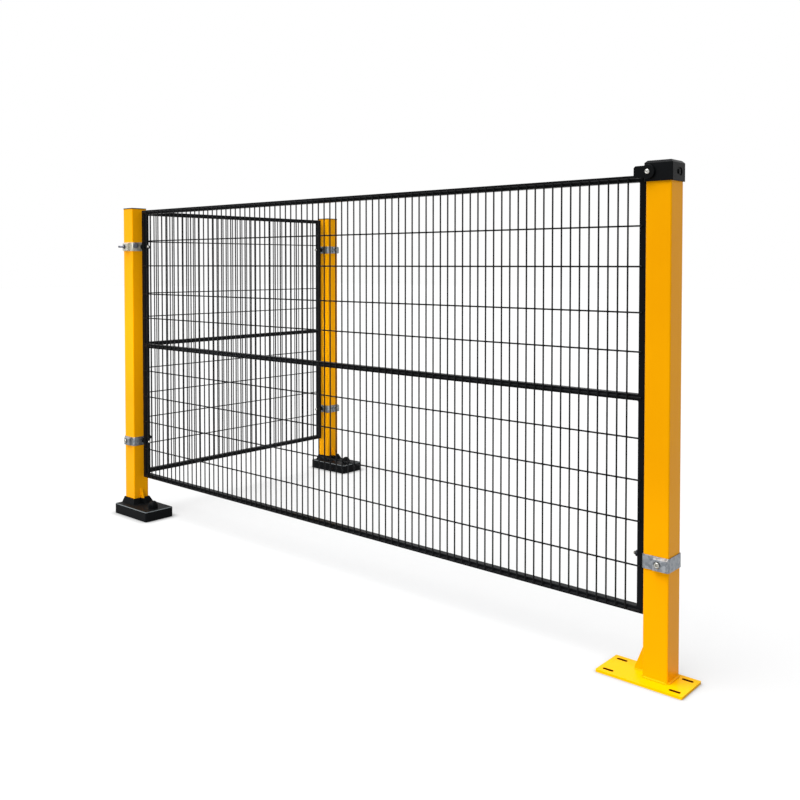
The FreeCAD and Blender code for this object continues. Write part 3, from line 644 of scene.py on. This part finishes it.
stud_verts = []
stud_faces = []
nut_verts = []
nut_faces = []
for clamp, stile, direction in (
        ("corner_upper", "front_left_stile", (1, 0, 0)), ("corner_lower", "front_left_stile", (1, 0, 0)),
        ("right_lower", "front_right_stile", (-1, 0, 0)),
        ("corner_upper", "side_near_stile", (0, 1, 0)), ("corner_lower", "side_near_stile", (0, 1, 0)),
        ("side_upper", "side_far_stile", (0, -1, 0)), ("side_lower", "side_far_stile", (0, -1, 0))):
    axis = 0 if direction[0] else 1
    outer = direction[axis] > 0
    band_low, band_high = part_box(clamp + "_clamp_band")
    stile_low, stile_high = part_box(stile)
    start = Vector([(low + high) / 2 for low, high in zip(stile_low, stile_high)])
    start.z = (band_low[2] + band_high[2]) / 2
    start[axis] = band_high[axis] if outer else band_low[axis]
    seat = abs((stile_high[axis] if outer else stile_low[axis]) - start[axis])
    place = outward(start, direction)
    rings = [(0, SHANK_RADIUS), (seat, SHANK_RADIUS)]
    rings += thread_rings(seat, seat + STUD_END, SHANK_RADIUS, M8_PITCH)
    lathe(stud_verts, stud_faces, place, rings, STUD_SIDES)
    nut_top = seat + NUT_HEIGHT
    rings = [(seat + drop, turned_off(drop)) for drop in NUT_DROPS]
    rings += [(nut_top - drop, turned_off(drop)) for drop in reversed(NUT_DROPS)]
    rings += [(nut_top, SHANK_RADIUS + NUT_LEAD), (nut_top - NUT_LEAD, SHANK_RADIUS)]
    lathe(nut_verts, nut_faces, place, rings, NUT_SIDES)
studs = new_piece("threaded_studs", stud_verts, stud_faces, bright_zinc)
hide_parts("panel_studs")
crisp(studs)
black_zinc = zinc_plated("black_passivated_zinc_steel", BLACK_ZINC, BLACK_ZINC_PALE, BLACK_ZINC_ROUGHNESS)
nuts = new_piece("hexagon_nuts", nut_verts, nut_faces, black_zinc)
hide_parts("panel_nuts")
crisp(nuts)
finish(["latch_nut"], bright_zinc)


# The latch bolt: a button-head screw with a smooth dome and a small hexagon socket. It is the brightest
# spot on the right post's head.
BUTTON_HEIGHT = 0.004
BUTTON_RIM = 0.0004
BUTTON_PIN_RADIUS = 0.003
BUTTON_SOCKET_HALF = 0.002
BUTTON_SOCKET_DEPTH = 0.0022
BUTTON_RINGS = 8
low, high = [Vector(corner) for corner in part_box("latch_bolt")]
length = high.y - low.y
button_radius = (high.x - low.x) / 2
button_foot = length - BUTTON_HEIGHT
socket_rim = BUTTON_SOCKET_HALF + 2 * SOCKET_LEAD
rings = [(0, BUTTON_PIN_RADIUS), (button_foot, BUTTON_PIN_RADIUS),
         (button_foot, button_radius - BUTTON_RIM / 2), (button_foot + BUTTON_RIM, button_radius)]
crown = math.sqrt(1 - (socket_rim / button_radius) ** 2)
for ring in range(1, BUTTON_RINGS + 1):
    radius = button_radius + (socket_rim - button_radius) * (ring / BUTTON_RINGS) ** 2
    rise = math.sqrt(1 - (radius / button_radius) ** 2) / crown
    rings.append((button_foot + BUTTON_RIM + (BUTTON_HEIGHT - BUTTON_RIM) * rise, radius))
rings += [(length - SOCKET_LEAD, hexagon(BUTTON_SOCKET_HALF)),
          (length - BUTTON_SOCKET_DEPTH, hexagon(BUTTON_SOCKET_HALF))]
verts = []
faces = []
place = outward(((low.x + high.x) / 2, high.y, (low.z + high.z) / 2), (0, -1, 0))
lathe(verts, faces, place, rings, NUT_SIDES)
button = new_piece("latch_button_screw", verts, faces, bright_zinc)
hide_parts("latch_bolt")
crisp(button)


# The panel frames: small rectangular steel tube, mitred at the corners, welded and powder coated black in a
# satin finish, which looks a deep black with thin grey lines along its corners.
BLACK_COAT = "#090A0B"
BLACK_COAT_THIN = "#111215"
BLACK_ROUGHNESS = 0.4
FRAME_SHINE = 0.05
CAP_SCREW_EDGE = 0.0004
black_coat = powder_coat("powder_coated_steel_black", BLACK_COAT, BLACK_COAT_THIN, BLACK_ROUGHNESS,
                         FRAME_SHINE)
for panel in ("front", "side"):
    finish([panel + "_top_rail", panel + "_middle_rail", panel + "_bottom_rail"], black_coat)
finish(["front_left_stile", "front_right_stile", "side_far_stile", "side_near_stile"], black_coat)
finish(["right_post_cap_screw"], black_coat, CAP_SCREW_EDGE)


# The frame's weld seams: a short bead across the tube in each inner corner and above and below each end of
# the middle rail, under the black coat.
FRAME_WELD_LEG = 0.0028
FRAME_WELD_INSET = 0.001
verts = []
faces = []
for panel, left, right, axis in (("front", "left", "right", 0), ("side", "near", "far", 1)):
    across = 1 - axis
    left_low, left_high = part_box(panel + "_" + left + "_stile")
    right_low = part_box(panel + "_" + right + "_stile")[0]
    heights = [(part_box(panel + "_bottom_rail")[1][2], 1), (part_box(panel + "_middle_rail")[0][2], -1),
               (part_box(panel + "_middle_rail")[1][2], 1), (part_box(panel + "_top_rail")[0][2], -1)]
    for stile_at, look in ((left_high[axis], 1), (right_low[axis], -1)):
        for height, rail_look in heights:
            start = Vector((0, 0, height))
            start[axis] = stile_at
            end = start.copy()
            start[across] = left_low[across] + FRAME_WELD_INSET
            end[across] = left_high[across] - FRAME_WELD_INSET
            stile_face = Vector((0, 0, 0))
            stile_face[axis] = look
            weld_run(verts, faces, start, end, stile_face, (0, 0, rail_look), FRAME_WELD_LEG)
new_piece("frame_corner_welds", verts, faces, black_coat)


# The mesh: 4 mm drawn steel wires, resistance welded where they cross and on the frame, and coated with it.
# Each crossing is squeezed out into a small flat collar round the contact. The coat's orange peel is drawn
# 4 mm wide here, as fine as the render shows.
WIRE_PEEL_WIDTH = 0.004
WIRE_SHINE = 0.08
WIRE_WIDTH = 0.0041
COLLAR_RADIUS = 0.0027
COLLAR_EDGE_SHARE = 0.7
COLLAR_HALF = 0.0008
COLLAR_SIDES = 8
wire_coat = powder_coat("powder_coated_drawn_wire_black", BLACK_COAT, BLACK_COAT_THIN, BLACK_ROUGHNESS,
                        WIRE_SHINE, peel=WIRE_PEEL_WIDTH)
for panel in ("front", "side"):
    finish([panel + "_vertical_wires", panel + "_horizontal_wires"], wire_coat)


def wire_middles(name, axis):
    """Middles of a node's parallel wires along one axis, from where its mesh has points."""
    values = sorted(vertex.co[axis] for vertex in nodes[name].data.vertices)
    middles = []
    first = values[0]
    last = values[0]
    for value in values:
        if value - first > WIRE_WIDTH:
            middles.append((first + last) / 2)
            first = value
        last = value
    return middles + [(first + last) / 2]


verts = []
faces = []
edge_radius = COLLAR_RADIUS * COLLAR_EDGE_SHARE
rings = [(-COLLAR_HALF, edge_radius), (0, COLLAR_RADIUS), (COLLAR_HALF, edge_radius)]
for panel, axis in (("front", 0), ("side", 1)):
    across = 1 - axis
    upright_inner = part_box(panel + "_vertical_wires")[1][across]
    level_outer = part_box(panel + "_horizontal_wires")[0][across]
    outer = Vector((0, 0, 0))
    outer[across] = -1
    for along in wire_middles(panel + "_vertical_wires", axis):
        for height in wire_middles(panel + "_horizontal_wires", 2):
            middle = Vector((0, 0, height))
            middle[axis] = along
            middle[across] = (upright_inner + level_outer) / 2
            lathe(verts, faces, outward(middle, outer), rings, COLLAR_SIDES)
new_piece("mesh_weld_collars", verts, faces, wire_coat)
